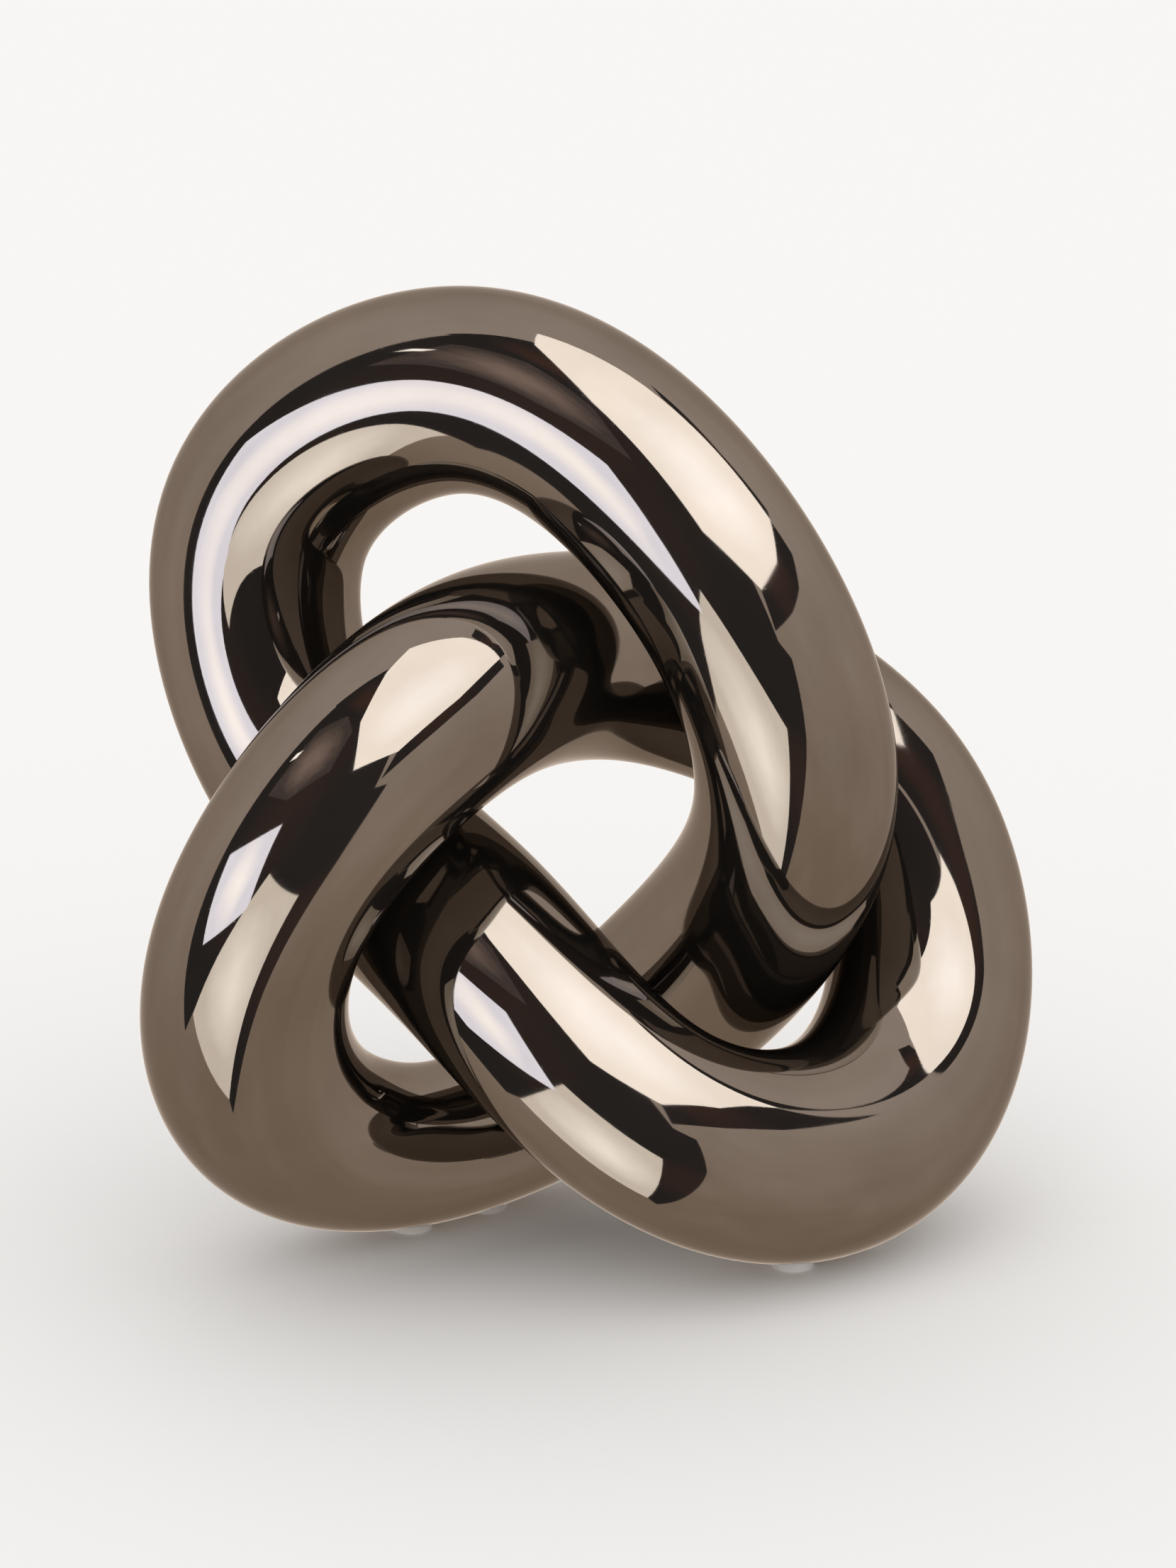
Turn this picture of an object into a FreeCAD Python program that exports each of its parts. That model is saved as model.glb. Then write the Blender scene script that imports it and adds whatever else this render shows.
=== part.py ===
import FreeCAD, Part
import math
import os

# Metal knot sculpture.
# One swelling round tube runs round a closed three-lobed knot and meets itself.
# It is made of six hollow cast limbs, joined end to end on inner sleeves and
# ground flush, so that no joint shows under the plating. The knot stands on
# its two lower lobes, on four thin pads.
# Axes: X to the right, Y away from the viewer, Z up, table at Z = 0.
# The origin is on the table, under the middle of the knot.

SIZES = {
    "knot_height": 180.0,
    "tube_diameter": 38.5,
    "strand_gap": 1.2,
    "wall_thickness": 3.0,
    "sleeve_length": 18.0,
    "sleeve_wall": 2.0,
    "braze_gap": 0.1,
    "pad_diameter": 8.0,
    "pad_thickness": 0.8,
    "pad_spread": 18.0,
    "plug_shank_diameter": 5.0,
    "plug_shank_length": 6.0,
    "plug_head_diameter": 8.0,
    "plug_head_height": 1.6,
    "plug_thread_gap": 0.1,
    "plug_recess": 0.5,
    "hex_socket_width": 2.5,
    "hex_socket_depth": 1.8,
}

# The middle of the tube at eighteen even stations, clockwise from the crown:
# across as a share of the knot's height, away as a share of its depth, up as a
# share of its height, then the girth there as a share of the tube's diameter.
# The depth is the least that keeps every strand clear of the next.
ROUTE_SHARES = [
    (-0.145, 0.195, 0.898, 1.01),   # crown of the upper lobe
    (0.070, -0.115, 0.804, 0.99),   # starts down to the right
    (0.195, -0.205, 0.584, 0.98),   # passes in front of the right lobe
    (0.175, 0.090, 0.362, 1.01),    # turns in and back
    (0.025, 0.425, 0.159, 0.98),    # behind the lower right limb
    (-0.160, 0.135, 0.084, 0.81),   # slimmest place, foot of the left lobe
    (-0.332, -0.210, 0.168, 1.00),  # left lobe comes forward
    (-0.337, -0.505, 0.401, 0.97),  # rises up the left lobe
    (-0.186, -0.380, 0.595, 1.02),  # in front of the upper lobe's left limb
    (-0.045, 0.145, 0.617, 1.04),   # bends back over the middle opening
    (0.120, 0.470, 0.566, 1.03),    # behind the upper lobe's right limb
    (0.314, 0.495, 0.428, 0.99),    # comes out in the right lobe
    (0.359, 0.290, 0.213, 1.06),    # down the right lobe
    (0.245, -0.140, 0.113, 1.08),   # foot of the right lobe
    (0.045, -0.390, 0.187, 0.99),   # in front of the lower crossing
    (-0.140, -0.120, 0.345, 1.03),  # climbs to the left
    (-0.311, 0.290, 0.486, 1.02),   # behind the left lobe
    (-0.352, 0.425, 0.744, 1.07),   # up the left of the upper lobe
]
STATIONS = len(ROUTE_SHARES)

# Where the limbs meet, as shares of the way round the route. Three joints hide
# behind a crossing.
TOP_JOINT_SHARE = 0.05
LOWER_CROSSING_SHARE = 0.208
LEFT_JOINT_SHARE = 0.389
RIGHT_CROSSING_SHARE = 0.578
RIGHT_JOINT_SHARE = 0.694
LEFT_CROSSING_SHARE = 0.878
JOINT_SHARES = {
    "top_joint_sleeve": TOP_JOINT_SHARE,
    "lower_crossing_sleeve": LOWER_CROSSING_SHARE,
    "left_joint_sleeve": LEFT_JOINT_SHARE,
    "right_crossing_sleeve": RIGHT_CROSSING_SHARE,
    "right_joint_sleeve": RIGHT_JOINT_SHARE,
    "left_crossing_sleeve": LEFT_CROSSING_SHARE,
}
LIMB_NAMES = [
    "upper_right_limb",
    "lower_left_limb",
    "middle_limb",
    "right_limb",
    "lower_right_limb",
    "upper_left_limb",
]
RING_GAPS_PER_STATION = 4
SLEEVE_RING_GAP_COUNT = 4
END_RING_SHARE = 0.25
SAMPLES_PER_STATION = 12
HALVING_COUNT = 24

# Strands nearer than this along the route are one bend, not two strands.
SAME_BEND_SHARE = 0.13

# The stretch of the route that holds each foot, and the vent, as shares of the
# way round.
LEFT_FOOT_SHARES = (0.22, 0.33)
RIGHT_FOOT_SHARES = (0.67, 0.78)
VENT_SHARE = 0.233

UP = FreeCAD.Vector(0, 0, 1)
BACK = FreeCAD.Vector(0, 1, 0)
ORIGIN = FreeCAD.Vector(0, 0, 0)

doc = FreeCAD.newDocument("knot_sculpture")
sheet = doc.addObject("Spreadsheet::Sheet", "sizes")
for row, (alias, value) in enumerate(SIZES.items(), start=1):
    sheet.set("A%d" % row, alias)
    sheet.set("B%d" % row, str(value))
    sheet.setAlias("B%d" % row, alias)
doc.recompute()


def size(alias):
    """Read one named size from the sheet."""
    return float(sheet.get(alias))


# Centre line and girth


def closed_curve(points):
    """Return a smooth curve that runs three laps through numbered points.

    Only the middle lap is used: it closes on itself without a crease.
    """
    laps = points * 3 + points[:1]
    numbers = [float(number - STATIONS) for number in range(len(laps))]
    curve = Part.BSplineCurve()
    curve.interpolate(Points=laps, Parameters=numbers)
    return curve


def girth_points():
    """Return the girth shares along X, each at its own place round a circle."""
    points = []
    for number, station in enumerate(ROUTE_SHARES):
        angle = 2 * math.pi * number / STATIONS
        points.append(FreeCAD.Vector(station[3], math.cos(angle), math.sin(angle)))
    return points


girth_curve = closed_curve(girth_points())


def tube_radius(station):
    """Return the outer radius of the tube at a station."""
    share = girth_curve.value(station % STATIONS).x
    return size("tube_diameter") / 2 * share


def route_points(depth, offset):
    """Return the stations in millimetres for a depth of the knot."""
    height = size("knot_height")
    return [
        FreeCAD.Vector(across * height, away * depth, up * height) + offset
        for across, away, up, girth in ROUTE_SHARES
    ]


sample_places = [number / SAMPLES_PER_STATION for number in range(STATIONS * SAMPLES_PER_STATION)]
sample_radii = [tube_radius(place) for place in sample_places]


def sample_pairs():
    """Return every pair of samples that lie on different strands."""
    count = len(sample_places)
    nearest = int(SAME_BEND_SHARE * count)
    return [
        (first, second)
        for first in range(count)
        for second in range(first + nearest, min(count, first + count - nearest))
    ]


strand_pairs = sample_pairs()


def least_gap(depth):
    """Return the least gap between two strands for a depth of the knot."""
    curve = closed_curve(route_points(depth, ORIGIN))
    middles = [curve.value(place) for place in sample_places]
    return min(
        middles[first].distanceToPoint(middles[second]) - sample_radii[first] - sample_radii[second]
        for first, second in strand_pairs
    )


def depth_of_knot():
    """Return the least depth that keeps the strands clear of each other."""
    shallow = 0
    deep = size("knot_height")
    for number in range(HALVING_COUNT):
        depth = (shallow + deep) / 2
        if least_gap(depth) < size("strand_gap"):
            shallow = depth
        else:
            deep = depth
    return deep


def offset_to_table(depth):
    """Return the move that centres the knot and leaves room for the pads."""
    curve = closed_curve(route_points(depth, ORIGIN))
    middles = [curve.value(place) for place in sample_places]
    spans = list(zip(middles, sample_radii))
    left = min(middle.x - radius for middle, radius in spans)
    right = max(middle.x + radius for middle, radius in spans)
    front = min(middle.y - radius for middle, radius in spans)
    back = max(middle.y + radius for middle, radius in spans)
    bottom = min(middle.z - radius for middle, radius in spans)
    lift = size("pad_thickness") - bottom
    return FreeCAD.Vector(-(left + right) / 2, -(front + back) / 2, lift)


knot_depth = depth_of_knot()
route_curve = closed_curve(route_points(knot_depth, offset_to_table(knot_depth)))

route = doc.addObject("Part::Feature", "centre_line")
route.Shape = route_curve.toShape(0, STATIONS)


def lowest_station(shares):
    """Return the station between two shares where the underside is lowest."""
    first, last = shares
    places = [place for place in sample_places if first * STATIONS < place < last * STATIONS]
    return min(places, key=lambda place: route_curve.value(place).z - tube_radius(place))


def place_on_route(station):
    """Return the middle of the tube at a station."""
    return route_curve.value(station % STATIONS)


def direction_on_route(station):
    """Return the unit vector along the tube at a station."""
    along = route_curve.getD1(station % STATIONS)[1]
    return along.normalize()


def stations_per_mm(station):
    """Return how far a millimetre goes along the route, in stations."""
    return 1 / route_curve.getD1(station % STATIONS)[1].Length


def square_to(vector, along):
    """Return the unit part of a vector that is square to a direction."""
    across = vector - along * vector.dot(along)
    return across.normalize()


# Rings and lofts


def ring_shape(radius):
    """Return a circle about Z as three arcs."""
    corners = []
    for step in range(6):
        angle = step * math.pi / 3
        corners.append(FreeCAD.Vector(radius * math.cos(angle), radius * math.sin(angle), 0))
    arcs = [
        Part.Arc(corners[first], corners[first + 1], corners[(first + 2) % 6]).toShape()
        for first in (0, 2, 4)
    ]
    return Part.Wire(arcs)


def ring_places(first, last, gaps):
    """Return evenly spaced stations, with one more ring close to each end."""
    gap = (last - first) / gaps
    inner = [first + gap * step for step in range(1, gaps)]
    nudge = gap * END_RING_SHARE
    return [first, first + nudge] + inner + [last - nudge, last]


def swept_tube(name, places, inset):
    """Loft a solid along the route, its radius less than the tube's by the inset."""
    rings = []
    side = UP.cross(direction_on_route(places[0]))
    for number, station in enumerate(places, start=1):
        along = direction_on_route(station)
        side = square_to(side, along)
        ring = doc.addObject("Part::Feature", "%s_ring_%d" % (name, number))
        ring.Shape = ring_shape(tube_radius(station) - inset)
        turn = FreeCAD.Rotation(side, along.cross(side), along, "ZXY")
        ring.Placement = FreeCAD.Placement(place_on_route(station), turn)
        rings.append(ring)
    loft = doc.addObject("Part::Loft", name)
    loft.Sections = rings
    loft.Solid = True
    loft.Ruled = False
    return loft


def cut(name, base, tool):
    """Cut one object from another."""
    result = doc.addObject("Part::Cut", name)
    result.Base = base
    result.Tool = tool
    return result


def hollow_tube(name, places, outer_inset, wall):
    """Return a tube along the route and the solid core that fills its outside."""
    core = swept_tube(name + "_outside", places, outer_inset)
    bore = swept_tube(name + "_bore", places, outer_inset + wall)
    return cut(name + "_tube", core, bore), core


# Parts turned about an axis


def axis_placement(place, direction):
    """Return the placement that lays a part's own Z along a direction."""
    return FreeCAD.Placement(place, FreeCAD.Rotation(UP, direction))


def cylinder(name, diameter, height, placement):
    """Make a cylinder whose sizes are expressions on the sheet."""
    rod = doc.addObject("Part::Cylinder", name)
    rod.setExpression("Radius", "(%s) / 2" % diameter)
    rod.setExpression("Height", height)
    rod.Placement = placement
    return rod


def cone(name, narrow, wide, height, placement):
    """Make a cone that widens along its own Z."""
    taper = doc.addObject("Part::Cone", name)
    taper.setExpression("Radius1", "(%s) / 2" % narrow)
    taper.setExpression("Radius2", "(%s) / 2" % wide)
    taper.setExpression("Height", height)
    taper.Placement = placement
    return taper


def fuse(name, base, tool):
    """Join two objects into one solid."""
    result = doc.addObject("Part::Fuse", name)
    result.Base = base
    result.Tool = tool
    return result


sub_parts = []


def keep(piece, label):
    """Give a finished piece its label and add it to the assembly."""
    piece.Label = label
    sub_parts.append(piece)


# Limbs

joints = [share * STATIONS for share in JOINT_SHARES.values()]
limbs = {}
limb_cores = {}
for number, name in enumerate(LIMB_NAMES):
    start = joints[number]
    end = joints[(number + 1) % len(joints)]
    if end < start:
        end += STATIONS
    gaps = int(round((end - start) * RING_GAPS_PER_STATION))
    places = ring_places(start, end, gaps)
    limbs[name], limb_cores[name] = hollow_tube(name, places, 0, size("wall_thickness"))


# Sleeves inside the joints

for name, share in JOINT_SHARES.items():
    station = share * STATIONS
    reach = size("sleeve_length") / 2 * stations_per_mm(station)
    places = ring_places(station - reach, station + reach, SLEEVE_RING_GAP_COUNT)
    inset = size("wall_thickness") + size("braze_gap")
    sleeve, sleeve_core = hollow_tube(name, places, inset, size("sleeve_wall"))
    keep(sleeve, name)


# Vent in the lower left limb, and the plug that closes it

vent_station = VENT_SHARE * STATIONS
vent_along = direction_on_route(vent_station)
vent_out = square_to(BACK - UP, vent_along)
vent_surface = place_on_route(vent_station) + vent_out * tube_radius(vent_station)
head_top = vent_surface - vent_out * size("plug_recess")
head_bottom = head_top - vent_out * size("plug_head_height")
shank_end = head_bottom - vent_out * size("plug_shank_length")
socket_floor = head_top - vent_out * size("hex_socket_depth")

hole = cylinder(
    "vent_hole",
    "sizes.plug_shank_diameter + 2 * sizes.plug_thread_gap",
    "sizes.plug_shank_length",
    axis_placement(shank_end, vent_out),
)
seat = cone(
    "vent_seat",
    "sizes.plug_shank_diameter",
    "sizes.plug_head_diameter",
    "sizes.plug_head_height",
    axis_placement(head_bottom, vent_out),
)
mouth = cylinder(
    "vent_mouth",
    "sizes.plug_head_diameter",
    "2 * sizes.plug_recess + sizes.plug_head_height",
    axis_placement(head_top, vent_out),
)
vent_space = fuse("vent_space", fuse("vent_opening", seat, mouth), hole)
limbs["lower_left_limb"] = cut("vented_limb", limbs["lower_left_limb"], vent_space)

head = cone(
    "plug_head",
    "sizes.plug_shank_diameter",
    "sizes.plug_head_diameter",
    "sizes.plug_head_height",
    axis_placement(head_bottom, vent_out),
)
shank = cylinder(
    "plug_shank",
    "sizes.plug_shank_diameter",
    "sizes.plug_shank_length",
    axis_placement(shank_end, vent_out),
)
socket = doc.addObject("Part::Prism", "hex_socket")
socket.Polygon = 6
socket.setExpression("Circumradius", "sizes.hex_socket_width / sqrt(3)")
socket.setExpression("Height", "sizes.hex_socket_depth")
socket.Placement = axis_placement(socket_floor, vent_out)
keep(cut("vent_plug_piece", fuse("plug_blank", head, shank), socket), "vent_plug")

for name in LIMB_NAMES:
    keep(limbs[name], name)


# Pads, two along the underside of each foot


def pad(label, limb, station, turn):
    """Make a round pad between the table and the underside of a limb."""
    beside = station + turn * size("pad_spread") / 2 * stations_per_mm(station)
    middle = place_on_route(beside)
    foot = FreeCAD.Vector(middle.x, middle.y, 0)
    blank = cylinder(
        label + "_blank",
        "sizes.pad_diameter",
        "sizes.tube_diameter / 2",
        axis_placement(foot, UP),
    )
    keep(cut(label + "_piece", blank, limb_cores[limb]), label)


left_foot = lowest_station(LEFT_FOOT_SHARES)
right_foot = lowest_station(RIGHT_FOOT_SHARES)
pad("left_back_pad", "lower_left_limb", left_foot, -1)
pad("left_front_pad", "lower_left_limb", left_foot, 1)
pad("right_back_pad", "lower_right_limb", right_foot, -1)
pad("right_front_pad", "lower_right_limb", right_foot, 1)


# Check and export

doc.recompute()
for item in doc.Objects:
    if "Invalid" in item.State or "Error" in item.State:
        raise RuntimeError("%s did not build" % item.Name)
for piece in sub_parts:
    if piece.Shape.isNull() or not piece.Shape.isValid():
        raise RuntimeError("%s has no valid shape" % piece.Label)

os.makedirs("parts", exist_ok=True)
for piece in sub_parts:
    piece.Shape.exportStep(os.path.join("parts", piece.Label + ".step"))
    print("%-24s solids %d volume %.1f" % (piece.Label, len(piece.Shape.Solids), piece.Shape.Volume))
print("route length %.1f, depth %.2f" % (route.Shape.Length, knot_depth))
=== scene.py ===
import math

import bpy
import numpy as np
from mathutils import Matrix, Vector


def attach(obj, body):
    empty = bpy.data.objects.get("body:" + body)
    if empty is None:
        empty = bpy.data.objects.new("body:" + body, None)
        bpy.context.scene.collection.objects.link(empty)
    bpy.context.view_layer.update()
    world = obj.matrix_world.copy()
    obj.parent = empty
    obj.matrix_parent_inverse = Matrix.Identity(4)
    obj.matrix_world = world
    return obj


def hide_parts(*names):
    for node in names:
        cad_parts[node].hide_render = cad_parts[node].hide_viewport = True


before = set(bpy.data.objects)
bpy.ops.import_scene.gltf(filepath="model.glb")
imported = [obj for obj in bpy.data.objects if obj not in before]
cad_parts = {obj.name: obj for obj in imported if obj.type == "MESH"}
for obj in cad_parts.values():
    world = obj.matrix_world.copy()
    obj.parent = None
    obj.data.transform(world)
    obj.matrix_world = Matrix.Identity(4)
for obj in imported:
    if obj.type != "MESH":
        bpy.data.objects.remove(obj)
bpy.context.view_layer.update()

# Metal knot sculpture, dressed. The six limbs get smooth mirror-polished skins,
# the sleeves, the vent plug and the pads keep their shape and get a finish.
# Lengths are in metres, directions in degrees.

# The route and girth of the tube, with the same shares as the solids

KNOT_HEIGHT = 0.180
KNOT_DEPTH = 0.07032
TUBE_RADIUS = 0.01925
WALL_THICKNESS = 0.003
PAD_THICKNESS = 0.0008

# Across, away, up and girth at each station
ROUTE_SHARES = np.array([
    (-0.145, 0.195, 0.898, 1.01),
    (0.070, -0.115, 0.804, 0.99),
    (0.195, -0.205, 0.584, 0.98),
    (0.175, 0.090, 0.362, 1.01),
    (0.025, 0.425, 0.159, 0.98),
    (-0.160, 0.135, 0.084, 0.81),
    (-0.332, -0.210, 0.168, 1.00),
    (-0.337, -0.505, 0.401, 0.97),
    (-0.186, -0.380, 0.595, 1.02),
    (-0.045, 0.145, 0.617, 1.04),
    (0.120, 0.470, 0.566, 1.03),
    (0.314, 0.495, 0.428, 0.99),
    (0.359, 0.290, 0.213, 1.06),
    (0.245, -0.140, 0.113, 1.08),
    (0.045, -0.390, 0.187, 0.99),
    (-0.140, -0.120, 0.345, 1.03),
    (-0.311, 0.290, 0.486, 1.02),
    (-0.352, 0.425, 0.744, 1.07),
])
STATIONS = len(ROUTE_SHARES)

# Where each limb starts, as a share of the way round the route
LIMB_STARTS = {
    "upper_right_limb": 0.05,
    "lower_left_limb": 0.208,
    "middle_limb": 0.389,
    "right_limb": 0.578,
    "lower_right_limb": 0.694,
    "upper_left_limb": 0.878,
}

# How finely the skins are made, and how far they lie under the solids' surface
RINGS_PER_STATION = 24
RING_POINTS = 128
SAMPLES_PER_STATION = 12
NEAREST_STEPS = 5
SMOOTH_TILT = 0.7
SKIN_DROP = 0.00005

# The countersunk vent, as in the solids
VENT_SHARE = 0.233
VENT_LIMB = "lower_left_limb"
VENT_AWAY = (0.0, 1.0, -1.0)
VENT_HOLE_RADIUS = 0.0026
VENT_HOLE_LENGTH = 0.006
VENT_HEAD_RADIUS = 0.004
VENT_HEAD_HEIGHT = 0.0016
VENT_RECESS = 0.0005
VENT_POINTS = 64


def station_slopes(values):
    """Return the slopes that make a smooth closed curve through the values."""
    one = np.eye(len(values))
    grid = 4 * one + np.roll(one, 1, axis=1) + np.roll(one, -1, axis=1)
    rise = 3 * (np.roll(values, -1, axis=0) - np.roll(values, 1, axis=0))
    return np.linalg.solve(grid, rise)


def curve_weights(share, order):
    """Return the four weights of a cubic piece, or of its first or second derivative."""
    if order == 0:
        return (
            2 * share**3 - 3 * share**2 + 1,
            share**3 - 2 * share**2 + share,
            3 * share**2 - 2 * share**3,
            share**3 - share**2,
        )
    if order == 1:
        return (
            6 * share**2 - 6 * share,
            3 * share**2 - 4 * share + 1,
            6 * share - 6 * share**2,
            3 * share**2 - 2 * share,
        )
    return 12 * share - 6, 6 * share - 4, 6 - 12 * share, 6 * share - 2


def read_curve(values, places, order=0):
    """Return the closed curve through the values, or a derivative, at some places."""
    slopes = station_slopes(values)
    first = np.floor(places).astype(int)
    weights = curve_weights((places - first)[:, None], order)
    here = first % STATIONS
    after = (first + 1) % STATIONS
    return (
        weights[0] * values[here]
        + weights[1] * slopes[here]
        + weights[2] * values[after]
        + weights[3] * slopes[after]
    )


def route_values():
    """Return each station's middle and radius, standing on the pads, and the move to there."""
    scale = [KNOT_HEIGHT, KNOT_DEPTH, KNOT_HEIGHT, TUBE_RADIUS]
    values = ROUTE_SHARES * scale
    places = np.arange(STATIONS * SAMPLES_PER_STATION) / SAMPLES_PER_STATION
    samples = read_curve(values, places)
    low = (samples[:, :3] - samples[:, 3:]).min(axis=0)
    high = (samples[:, :3] + samples[:, 3:]).max(axis=0)
    middle = (low + high) / 2
    offset = np.array([-middle[0], -middle[1], PAD_THICKNESS - low[2], 0])
    return values + offset, offset[:3]


ROUTE, OFFSET = route_values()


def unit(vectors):
    """Return vectors at length one."""
    return vectors / np.linalg.norm(vectors, axis=-1, keepdims=True)


def tube_normals(places, outward, inset):
    """Return the surface normals of the tube for unit vectors square to the route."""
    speed = read_curve(ROUTE, places, 1)
    bend = read_curve(ROUTE, places, 2)
    radius = read_curve(ROUTE, places)[:, 3:] - inset
    along = unit(speed[:, :3])
    pace = np.linalg.norm(speed[:, :3], axis=1, keepdims=True)
    turn = bend[:, :3] - (bend[:, :3] * along).sum(axis=1, keepdims=True) * along
    turn /= pace
    reach = pace - radius * (outward * turn).sum(axis=1, keepdims=True)
    return unit(reach * outward - speed[:, 3:] * along)


def nearest_places(points, first, last):
    """Return the places on a stretch of the route that lie square to some points."""
    trial = np.linspace(first, last, int((last - first) * SAMPLES_PER_STATION) + 2)
    middles = read_curve(ROUTE, trial)[:, :3]
    gaps = ((points[:, None] - middles[None]) ** 2).sum(axis=2)
    places = trial[gaps.argmin(axis=1)]
    for _ in range(NEAREST_STEPS):
        away = points - read_curve(ROUTE, places)[:, :3]
        speed = read_curve(ROUTE, places, 1)[:, :3]
        bend = read_curve(ROUTE, places, 2)[:, :3]
        error = (away * speed).sum(axis=1)
        slope = (away * bend).sum(axis=1) - (speed * speed).sum(axis=1)
        places = places - error / slope
    return places


def new_object(name, points, faces):
    """Make a mesh object from points and faces."""
    mesh = bpy.data.meshes.new(name)
    mesh.from_pydata([tuple(point) for point in points], [], faces)
    mesh.update()
    obj = bpy.data.objects.new(name, mesh)
    bpy.context.scene.collection.objects.link(obj)
    return obj


def ring_frames(places):
    """Return two unit vectors square to the route at each place, without twist."""
    along = unit(read_curve(ROUTE, places, 1)[:, :3])
    side = np.cross([0.0, 0.0, 1.0], along[0])
    sides = []
    for heading in along:
        side = side - heading * side.dot(heading)
        side = side / np.linalg.norm(side)
        sides.append(side)
    sides = np.array(sides)
    return sides, np.cross(along, sides)


def limb_points(places, inset):
    """Return rings of points on the tube, lowered by the inset."""
    sides, others = ring_frames(places)
    values = read_curve(ROUTE, places)
    angles = np.arange(RING_POINTS) * 2 * math.pi / RING_POINTS
    outward = (
        np.cos(angles)[None, :, None] * sides[:, None]
        + np.sin(angles)[None, :, None] * others[:, None]
    )
    return (values[:, None, :3] + (values[:, None, 3:] - inset) * outward).reshape(-1, 3)


def limb_faces(ring_count):
    """Return the faces of a hollow limb: outside, bore and two ring-shaped ends."""
    faces = []
    inner = ring_count * RING_POINTS
    for ring in range(ring_count - 1):
        for point in range(RING_POINTS):
            here = ring * RING_POINTS + point
            beside = ring * RING_POINTS + (point + 1) % RING_POINTS
            faces.append((here, beside, beside + RING_POINTS, here + RING_POINTS))
            faces.append((
                inner + here,
                inner + here + RING_POINTS,
                inner + beside + RING_POINTS,
                inner + beside,
            ))
    last = (ring_count - 1) * RING_POINTS
    for point in range(RING_POINTS):
        beside = (point + 1) % RING_POINTS
        faces.append((point, inner + point, inner + beside, beside))
        faces.append((
            last + point,
            last + beside,
            inner + last + beside,
            inner + last + point,
        ))
    return faces


def set_normals(mesh, first, last):
    """Give the outside and the bore of a limb the true normals of the tube."""
    corners = np.array([vertex.co for vertex in mesh.vertices])
    places = nearest_places(corners, first, last)
    middles = read_curve(ROUTE, places)
    outward = unit(corners - middles[:, :3])
    outside = tube_normals(places, outward, SKIN_DROP)
    bore = -tube_normals(places, outward, WALL_THICKNESS)
    depths = middles[:, 3] - np.linalg.norm(corners - middles[:, :3], axis=1)
    halfway = (SKIN_DROP + WALL_THICKNESS) / 2
    normals = np.zeros((len(mesh.loops), 3))
    for face in mesh.polygons:
        ring = list(face.vertices)
        tilt = abs(outward[ring].mean(axis=0).dot(face.normal))
        face.use_smooth = tilt > SMOOTH_TILT
        if face.use_smooth:
            source = outside if depths[ring].mean() < halfway else bore
            normals[list(face.loop_indices)] = source[ring]
    mesh.normals_split_custom_set([tuple(normal) for normal in normals])


def turned_shape(name, base, axis, profile, count):
    """Make a closed shape from (radius, height) pairs turned about an axis."""
    side = unit(np.cross(axis, [1.0, 0.0, 0.0]))
    other = np.cross(axis, side)
    points = [base + axis * profile[0][1]]
    for radius, height in profile[1:-1]:
        for number in range(count):
            angle = 2 * math.pi * number / count
            spoke = side * math.cos(angle) + other * math.sin(angle)
            points.append(base + axis * height + spoke * radius)
    points.append(base + axis * profile[-1][1])
    faces = []
    rings = len(profile) - 2
    for number in range(count):
        beside = (number + 1) % count
        faces.append((0, 1 + beside, 1 + number))
        for ring in range(rings - 1):
            low = 1 + ring * count
            high = low + count
            faces.append((low + number, low + beside, high + beside, high + number))
        top = 1 + (rings - 1) * count
        faces.append((top + number, top + beside, len(points) - 1))
    return new_object(name, points, faces)


def cut_vent(limb):
    """Cut the countersunk vent into the skin of the limb that holds the plug."""
    place = np.array([VENT_SHARE * STATIONS])
    middle = read_curve(ROUTE, place)[0]
    along = unit(read_curve(ROUTE, place, 1)[0, :3])
    away = np.array(VENT_AWAY)
    axis = unit(away - along * along.dot(away))
    head = VENT_RECESS + VENT_HEAD_HEIGHT
    base = middle[:3] + axis * (middle[3] - head - VENT_HOLE_LENGTH)
    seat = VENT_HOLE_LENGTH
    profile = [
        (0, 0),
        (VENT_HOLE_RADIUS, 0),
        (VENT_HOLE_RADIUS, seat),
        (VENT_HEAD_RADIUS, seat + VENT_HEAD_HEIGHT),
        (VENT_HEAD_RADIUS, seat + 2 * head),
        (0, seat + 2 * head),
    ]
    cutter = turned_shape("vent_cutter", base, axis, profile, VENT_POINTS)
    change = limb.modifiers.new("vent", "BOOLEAN")
    change.operation = "DIFFERENCE"
    change.solver = "EXACT"
    change.object = cutter
    graph = bpy.context.evaluated_depsgraph_get()
    mesh = bpy.data.meshes.new_from_object(limb.evaluated_get(graph))
    limb.modifiers.clear()
    limb.data = mesh
    bpy.data.objects.remove(cutter)


def make_limb(name, first, last, finish):
    """Make the polished skin of one limb in place of its solid."""
    count = int(round((last - first) * RINGS_PER_STATION)) + 1
    places = np.linspace(first, last, count)
    points = np.vstack([limb_points(places, SKIN_DROP), limb_points(places, WALL_THICKNESS)])
    limb = new_object(name + "_skin", points, limb_faces(count))
    if name == VENT_LIMB:
        cut_vent(limb)
    set_normals(limb.data, first, last)
    limb.data.materials.clear()
    limb.data.materials.append(finish)
    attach(limb, "root")
    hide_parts(name)


# Finishes. Patterns get finer as their scale goes up. Most of a noise pattern lies
# within its middle range.

NOISE_RANGE = (0.3, 0.7)

BRONZE_DARK = (0.186, 0.163, 0.144, 1)
BRONZE_LIGHT = (0.212, 0.187, 0.166, 1)
BRONZE_EDGE_TINT = (0.6, 0.58, 0.56, 1)
BRONZE_METAL_SHARE = 0.96
BRONZE_ROUGHNESS = (0.028, 0.075)
SCRATCH_ROUGHNESS = 0.05

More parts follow.
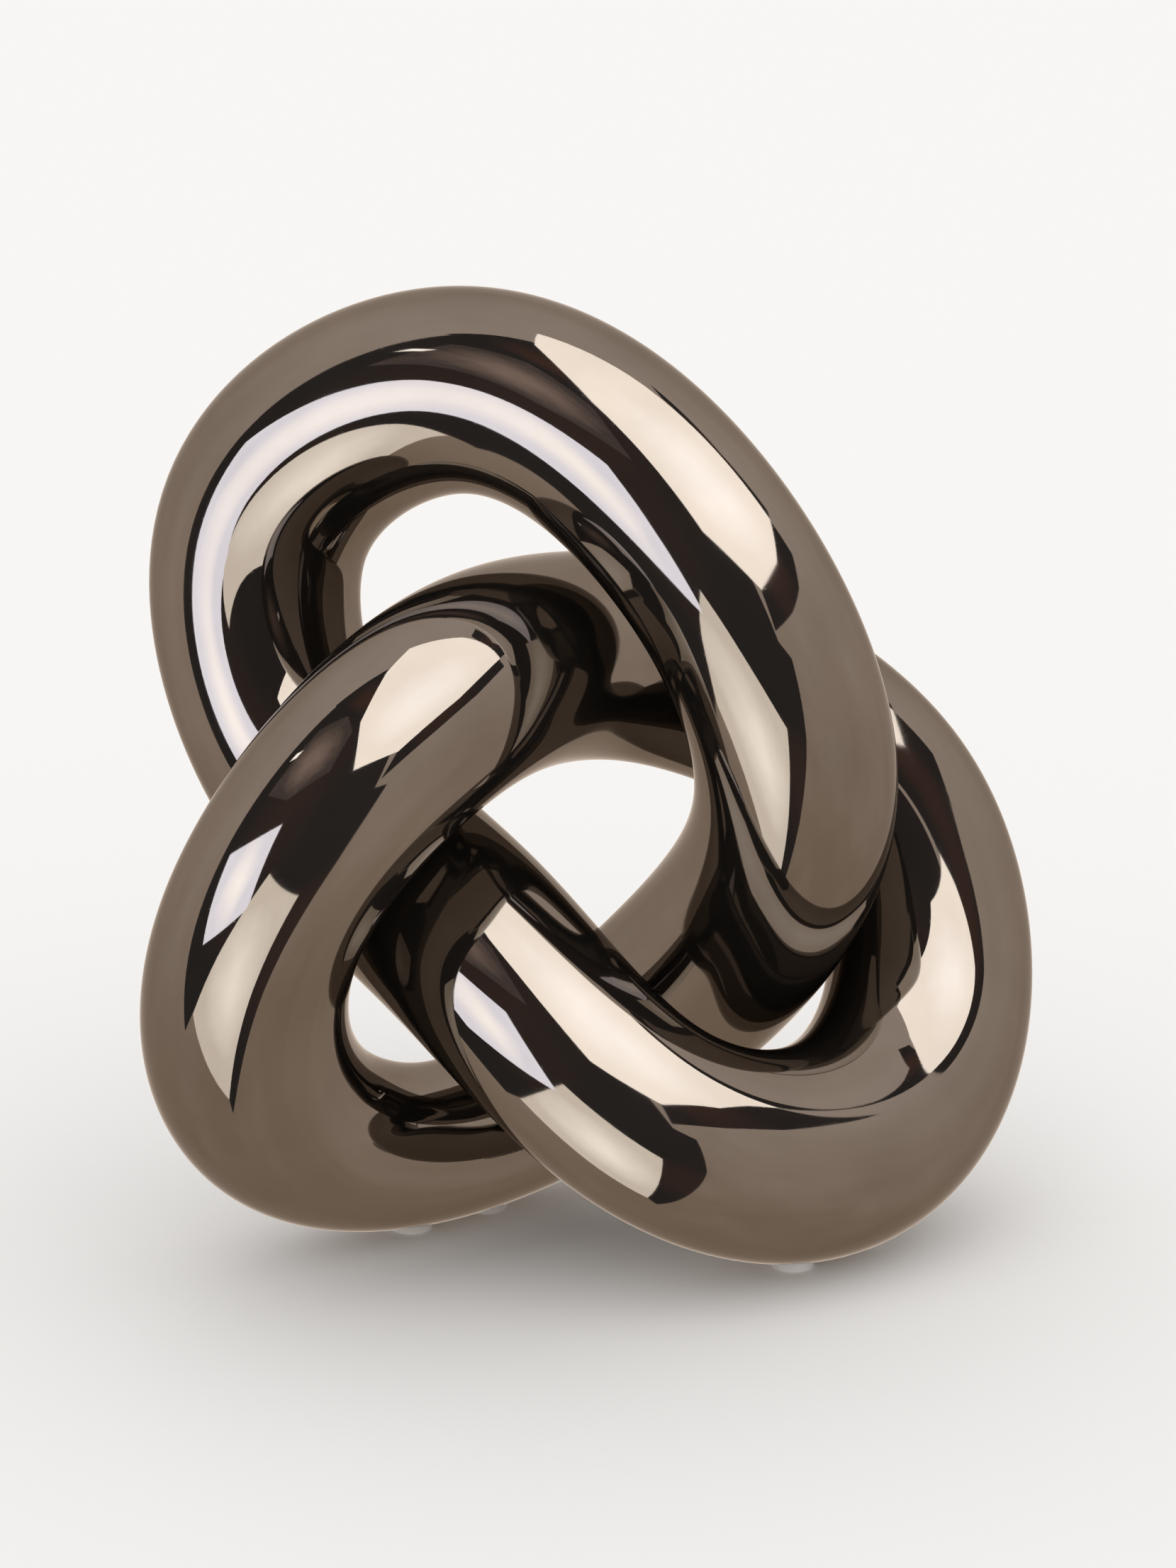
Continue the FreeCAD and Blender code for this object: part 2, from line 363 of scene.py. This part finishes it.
ALUMINIUM_BRIGHT = (0.72, 0.7, 0.66, 1)
ALUMINIUM_STAINED = (0.5, 0.47, 0.42, 1)
ALUMINIUM_ROUGHNESS = (0.22, 0.42)

STEEL_BLACK = (0.045, 0.042, 0.04, 1)
STEEL_WORN = (0.3, 0.27, 0.24, 1)
STEEL_ROUGHNESS = (0.28, 0.5)

FELT_SHADED = (0.8, 0.785, 0.76, 1)
FELT_PLAIN = (0.9, 0.89, 0.87, 1)
FELT_FIBRE = (0.55, 0.53, 0.5, 1)
FELT_ROUGHNESS = (0.85, 1)
FELT_SHEEN = 0.3


def new_material(name):
    """Return the node tree and the main shader of a new material."""
    material = bpy.data.materials.new(name)
    material.use_nodes = True
    tree = material.node_tree
    return material, tree, tree.nodes["Principled BSDF"]


def add_node(tree, kind, inputs=None, **settings):
    """Add a node; an input may be a number, a colour or another node's output."""
    node = tree.nodes.new(kind)
    for key, value in settings.items():
        setattr(node, key, value)
    for key, value in (inputs or {}).items():
        if isinstance(value, bpy.types.NodeSocket):
            tree.links.new(value, node.inputs[key])
        else:
            node.inputs[key].default_value = value
    return node


def object_places(tree, stretch=(1, 1, 1)):
    """Return places on the object, stretched along its axes."""
    places = add_node(tree, "ShaderNodeTexCoord").outputs["Object"]
    mapping = add_node(tree, "ShaderNodeMapping", {"Vector": places, "Scale": stretch})
    return mapping.outputs["Vector"]


def noise(tree, places, scale, detail=4.0, roughness=0.5):
    """Return a noise pattern between 0 and 1."""
    inputs = {"Vector": places, "Scale": scale, "Detail": detail, "Roughness": roughness}
    return add_node(tree, "ShaderNodeTexNoise", inputs).outputs["Fac"]


def spread(tree, value, source, target):
    """Return a value moved from one (low, high) range to another."""
    inputs = {
        "Value": value,
        "From Min": source[0],
        "From Max": source[1],
        "To Min": target[0],
        "To Max": target[1],
    }
    return add_node(tree, "ShaderNodeMapRange", inputs).outputs["Result"]


def combine(tree, operation, first, second):
    """Return two values added, multiplied or otherwise combined."""
    inputs = {0: first, 1: second}
    return add_node(tree, "ShaderNodeMath", inputs, operation=operation).outputs["Value"]


def blend_colours(tree, share, first, second):
    """Return a colour between two, by a share."""
    node = add_node(tree, "ShaderNodeMix", {"Factor": share}, data_type="RGBA")
    for socket, value in ((node.inputs[6], first), (node.inputs[7], second)):
        if isinstance(value, bpy.types.NodeSocket):
            tree.links.new(value, socket)
        else:
            socket.default_value = value
    return node.outputs[2]


def bump(tree, height, strength, distance):
    """Return normals raised by a height pattern."""
    inputs = {"Height": height, "Strength": strength, "Distance": distance}
    return add_node(tree, "ShaderNodeBump", inputs).outputs["Normal"]


def dress_shader(tree, shader, colour, roughness, normal):
    """Link a colour, a roughness and normals to a main shader."""
    tree.links.new(colour, shader.inputs["Base Color"])
    tree.links.new(roughness, shader.inputs["Roughness"])
    tree.links.new(normal, shader.inputs["Normal"])


def make_polished_metal():
    """Return dark bronze nickel plate over a hand-polished casting."""
    material, tree, shader = new_material("polished_metal")
    places = object_places(tree)
    haze = noise(tree, places, scale=38, detail=5, roughness=0.55)
    ripple = noise(tree, places, scale=70, detail=1, roughness=0.4)
    grain = noise(tree, places, scale=2400, detail=3, roughness=0.6)
    lines = noise(tree, object_places(tree, (1, 0.12, 1)), scale=1500, detail=2)
    tone = spread(tree, haze, NOISE_RANGE, (0, 1))
    colour = blend_colours(tree, tone, BRONZE_DARK, BRONZE_LIGHT)
    scratch = spread(tree, lines, (0.68, 0.74), (0, SCRATCH_ROUGHNESS))
    smear = spread(tree, haze, (0.45, 0.75), BRONZE_ROUGHNESS)
    roughness = combine(tree, "ADD", smear, scratch)
    height = combine(tree, "ADD", combine(tree, "MULTIPLY", grain, 0.02), ripple)
    dress_shader(tree, shader, colour, roughness, bump(tree, height, 0.25, 0.0001))
    shader.inputs["Metallic"].default_value = BRONZE_METAL_SHARE
    shader.inputs["Specular Tint"].default_value = BRONZE_EDGE_TINT
    return material


def make_drawn_aluminium():
    """Return bare drawn tube with lines along it and a little heat colour."""
    material, tree, shader = new_material("drawn_aluminium")
    stain = noise(tree, object_places(tree), scale=120, roughness=0.6)
    lines = noise(tree, object_places(tree, (1, 1, 0.05)), scale=2200, detail=3, roughness=0.6)
    colour = blend_colours(tree, stain, ALUMINIUM_BRIGHT, ALUMINIUM_STAINED)
    roughness = spread(tree, lines, NOISE_RANGE, ALUMINIUM_ROUGHNESS)
    dress_shader(tree, shader, colour, roughness, bump(tree, lines, 0.2, 0.00005))
    shader.inputs["Metallic"].default_value = 1
    return material


def make_blackened_steel():
    """Return a blackened plug, rubbed bright where a key has touched it."""
    material, tree, shader = new_material("blackened_steel")
    rub = noise(tree, object_places(tree), scale=900, roughness=0.6)
    grain = noise(tree, object_places(tree), scale=6000, detail=2)
    wear = spread(tree, rub, (0.55, 0.75), (0, 1))
    colour = blend_colours(tree, wear, STEEL_BLACK, STEEL_WORN)
    roughness = spread(tree, grain, NOISE_RANGE, STEEL_ROUGHNESS)
    dress_shader(tree, shader, colour, roughness, bump(tree, grain, 0.3, 0.00003))
    shader.inputs["Metallic"].default_value = 1
    return material


def make_felt():
    """Return dense white felt, matted, with a few darker fibres."""
    material, tree, shader = new_material("white_felt")
    mat = noise(tree, object_places(tree), scale=1200, detail=6, roughness=0.7)
    fibre = noise(tree, object_places(tree, (1, 0.2, 1)), scale=5200, roughness=0.6)
    stray = spread(tree, fibre, (0.5, 0.75), (0, 0.4))
    plain = blend_colours(tree, mat, FELT_SHADED, FELT_PLAIN)
    colour = blend_colours(tree, stray, plain, FELT_FIBRE)
    roughness = spread(tree, mat, (0.2, 0.8), FELT_ROUGHNESS)
    dress_shader(tree, shader, colour, roughness, bump(tree, fibre, 0.6, 0.0002))
    shader.inputs["Sheen Weight"].default_value = FELT_SHEEN
    return material


# Pieces

polished_metal = make_polished_metal()
drawn_aluminium = make_drawn_aluminium()
blackened_steel = make_blackened_steel()
white_felt = make_felt()

starts = [share * STATIONS for share in LIMB_STARTS.values()]
ends = starts[1:] + [starts[0] + STATIONS]
for name, start, end in zip(LIMB_STARTS, starts, ends):
    make_limb(name, start, end, polished_metal)

for name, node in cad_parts.items():
    if name in LIMB_STARTS:
        continue
    finish = drawn_aluminium
    if name.endswith("pad"):
        finish = white_felt
    if name == "vent_plug":
        finish = blackened_steel
    node.data.materials.clear()
    node.data.materials.append(finish)

# Studio: a pale floor, a pale room, and the cards that only the metal mirrors.
# A direction is a turn from +Y towards +X and a rise from level.

ROOM_COLOUR = (0.956, 0.939, 0.922, 1)
FLOOR_COLOUR = (0.985, 0.985, 0.985, 1)
LAMP_DISTANCE = 3.8
CARD_DISTANCE = 4.0
BLACK_DISTANCE = 4.4
FLOOR_RADIUS = 6.0
ROOM_RADIUS = 7.0
CARD_STEPS = 8
ROOM_STEPS = 48
FLOOR_STEPS = 96

# How far noise shifts a light's blend, and where a card's bright heart ends
RAGGED_CARD = (-0.12, 0.12)
RAGGED_WALL = (-0.15, 0.15)
HEART_RANGE = (0.1, 0.5)

SOFTBOX_HEART = (1, 1.02, 1.04, 1)
WHITE_RIM = (0.84, 0.82, 0.78, 1)
COOL_RIM = (0.7, 0.74, 0.88, 1)
BEIGE_HEART = (0.98, 0.98, 0.95, 1)
BEIGE_RIM = (0.62, 0.59, 0.54, 1)
BROWN_HEART = (0.8, 0.62, 0.54, 1)
BROWN_RIM = (0.2, 0.16, 0.15, 1)
BLACK_HEART = (0.16, 0.08, 0.06, 1)
BLACK_RIM = (0.05, 0.045, 0.045, 1)
WALL_LOW = (0.72, 0.58, 0.45, 1)
WALL_HIGH = (1.17, 1.03, 0.93, 1)


def light_places(name):
    """Return a new material without its shader, its node tree and places on its object."""
    material = bpy.data.materials.new(name)
    material.use_nodes = True
    tree = material.node_tree
    tree.nodes.clear()
    return material, tree, add_node(tree, "ShaderNodeTexCoord").outputs["Generated"]


def give_light(tree, colour, strength):
    """Make a material give off light of a colour."""
    light = add_node(tree, "ShaderNodeEmission", {"Color": colour, "Strength": strength})
    output = add_node(tree, "ShaderNodeOutputMaterial")
    tree.links.new(light.outputs["Emission"], output.inputs["Surface"])


def card_light(name, heart, rim, strength, scale):
    """Return a material that gives off light, brightest in the middle of its card."""
    material, tree, places = light_places(name)
    inputs = {0: places, 1: (0.5, 0.5, 0.5)}
    middle = add_node(tree, "ShaderNodeVectorMath", inputs, operation="DISTANCE")
    ragged = spread(tree, noise(tree, places, scale), NOISE_RANGE, RAGGED_CARD)
    share = spread(tree, middle.outputs["Value"], HEART_RANGE, (0, 1))
    colour = blend_colours(tree, combine(tree, "ADD", share, ragged), heart, rim)
    give_light(tree, colour, strength)
    return material


def wall_light(name, low, high, scale):
    """Return a material for the room's wall, which gets paler towards its ceiling."""
    material, tree, places = light_places(name)
    height = add_node(tree, "ShaderNodeSeparateXYZ", {"Vector": places}).outputs["Z"]
    ragged = spread(tree, noise(tree, places, scale), NOISE_RANGE, RAGGED_WALL)
    colour = blend_colours(tree, combine(tree, "ADD", height, ragged), low, high)
    give_light(tree, colour, 1)
    return material


def direction(turn, rise):
    """Return the unit vector of a direction."""
    turn = math.radians(turn)
    rise = math.radians(rise)
    return np.array([
        math.sin(turn) * math.cos(rise),
        math.cos(turn) * math.cos(rise),
        math.sin(rise),
    ])


def only_mirrored(thing):
    """Let only the metal see a part of the studio."""
    thing.visible_camera = False
    thing.visible_diffuse = False
    thing.visible_shadow = False


def along_edge(edge, count):
    """Return evenly spaced points along an edge given as directions of its corners."""
    corners = np.array([direction(turn, rise) for turn, rise in edge])
    steps = np.linspace(0, len(corners) - 1, count)
    numbers = np.arange(len(corners))
    return np.stack([np.interp(steps, numbers, axis) for axis in corners.T], axis=1)


def hang_card(name, lower, upper, light, distance):
    """Hang a curved card between two edges."""
    count = CARD_STEPS * (len(lower) - 1) + 1
    low = along_edge(lower, count)
    high = along_edge(upper, count)
    centre = np.array([0, 0, KNOT_HEIGHT / 2])
    points = []
    for row in range(CARD_STEPS + 1):
        for way in unit(low + (high - low) * row / CARD_STEPS):
            points.append(centre + way * distance)
    faces = []
    for row in range(CARD_STEPS):
        for column in range(count - 1):
            here = row * count + column
            faces.append((here, here + 1, here + count + 1, here + count))
    card = new_object(name, points, faces)
    card.data.materials.append(light)
    only_mirrored(card)


def make_room(light):
    """Make the round room that the metal mirrors between the cards."""
    points = []
    for row in range(1, ROOM_STEPS // 2):
        for column in range(ROOM_STEPS):
            way = direction(360 * column / ROOM_STEPS, 90 - 360 * row / ROOM_STEPS)
            points.append(way * ROOM_RADIUS)
    faces = []
    for row in range(ROOM_STEPS // 2 - 2):
        for column in range(ROOM_STEPS):
            here = row * ROOM_STEPS + column
            beside = row * ROOM_STEPS + (column + 1) % ROOM_STEPS
            faces.append((here, beside, beside + ROOM_STEPS, here + ROOM_STEPS))
    faces.append(tuple(range(ROOM_STEPS)))
    faces.append(tuple(range(len(points) - ROOM_STEPS, len(points))))
    room = new_object("room", points, faces)
    room.data.materials.append(light)
    only_mirrored(room)


def make_floor():
    """Make the plain pale floor."""
    points = [(0, 0, 0)]
    for number in range(FLOOR_STEPS):
        angle = 2 * math.pi * number / FLOOR_STEPS
        points.append((FLOOR_RADIUS * math.cos(angle), FLOOR_RADIUS * math.sin(angle), 0))
    faces = [
        (0, number + 1, (number + 1) % FLOOR_STEPS + 1) for number in range(FLOOR_STEPS)
    ]
    floor = new_object("floor", points, faces)
    paper, tree, shader = new_material("floor_paper")
    shader.inputs["Base Color"].default_value = FLOOR_COLOUR
    shader.inputs["Roughness"].default_value = 1
    shader.inputs["Specular IOR Level"].default_value = 0
    floor.data.materials.append(paper)
    floor.visible_glossy = False


white = card_light("white_softbox", SOFTBOX_HEART, WHITE_RIM, strength=5.2, scale=3)
cool = card_light("cool_softbox", SOFTBOX_HEART, COOL_RIM, strength=5.0, scale=3)
beige = card_light("beige_softbox", BEIGE_HEART, BEIGE_RIM, strength=4.4, scale=3)
brown = card_light("brown_screen", BROWN_HEART, BROWN_RIM, strength=1, scale=7)
black = card_light("dark_studio", BLACK_HEART, BLACK_RIM, strength=1, scale=6)

# Each card's name, lower edge, upper edge, light and distance
CARDS = [
    ("high_softbox", [(179, 27), (152, 22), (118, 32.5), (88, 38)],
     [(201, 56), (256, 79), (335, 79), (66, 67)], white, CARD_DISTANCE),
    ("dark_rim", [(88, 38), (86, 50), (68, 63)],
     [(82, 38), (78, 50), (56, 62)], black, BLACK_DISTANCE),
    ("brown_screen", [(200, 34), (225, 28), (250, 30)],
     [(203, 52), (228, 60), (252, 52)], brown, CARD_DISTANCE),
    ("side_softbox", [(213, -11), (246, -14)],
     [(216, 18), (253, 13)], cool, CARD_DISTANCE),
    ("low_softbox", [(174, -23), (214, -67), (248, -34)],
     [(174, -23), (206, -2), (248, -34)], beige, CARD_DISTANCE),
    ("small_lamp", [(250, 42), (255, 40)],
     [(249, 45), (254, 43)], white, LAMP_DISTANCE),
    ("dark_side", [(158, -22), (206, -12), (258, -36)],
     [(155, 60), (210, 60), (265, 60)], black, BLACK_DISTANCE),
    ("dark_top", [(170, 58), (220, 58), (267, 58)],
     [(170, 86), (220, 86), (267, 86)], black, BLACK_DISTANCE),
    ("dark_edge", [(156, 10), (130, 20), (108, 26), (90, 31)],
     [(150, 30), (118, 40), (96, 45), (86, 48)], black, BLACK_DISTANCE),
    ("dark_low", [(150, 4), (156, -22), (170, -48), (214, -71)],
     [(165, 10), (180, -10), (190, -30), (214, -60)], black, BLACK_DISTANCE),
]
for name, lower, upper, light, distance in CARDS:
    hang_card(name, lower, upper, light, distance)

make_room(wall_light("room_wall", WALL_LOW, WALL_HIGH, scale=4))
make_floor()

world = bpy.data.worlds.new("pale_room")
world.use_nodes = True
world.node_tree.nodes["Background"].inputs["Color"].default_value = ROOM_COLOUR
bpy.context.scene.world = world
bpy.context.scene.view_settings.view_transform = "Standard"

# Camera at the photograph's angle: straight in front, a little above

CAMERA_TURN = 180
CAMERA_RISE = 15
CAMERA_DISTANCE = 0.7748
CAMERA_LENS = 97.65
CAMERA_NEAR = 0.01
CAMERA_FAR = 20
AIM_ON_ROUTE = (-0.0016, -0.02466, 0.0957)

aim = Vector(AIM_ON_ROUTE) + Vector(OFFSET)
backward = Vector(direction(CAMERA_TURN, CAMERA_RISE))
camera = bpy.data.objects.new("camera", bpy.data.cameras.new("camera"))
camera.data.lens = CAMERA_LENS
camera.data.clip_start = CAMERA_NEAR
camera.data.clip_end = CAMERA_FAR
camera.location = aim + backward * CAMERA_DISTANCE
camera.rotation_mode = "QUATERNION"
camera.rotation_quaternion = backward.to_track_quat("Z", "Y")
bpy.context.scene.collection.objects.link(camera)
bpy.context.scene.camera = camera
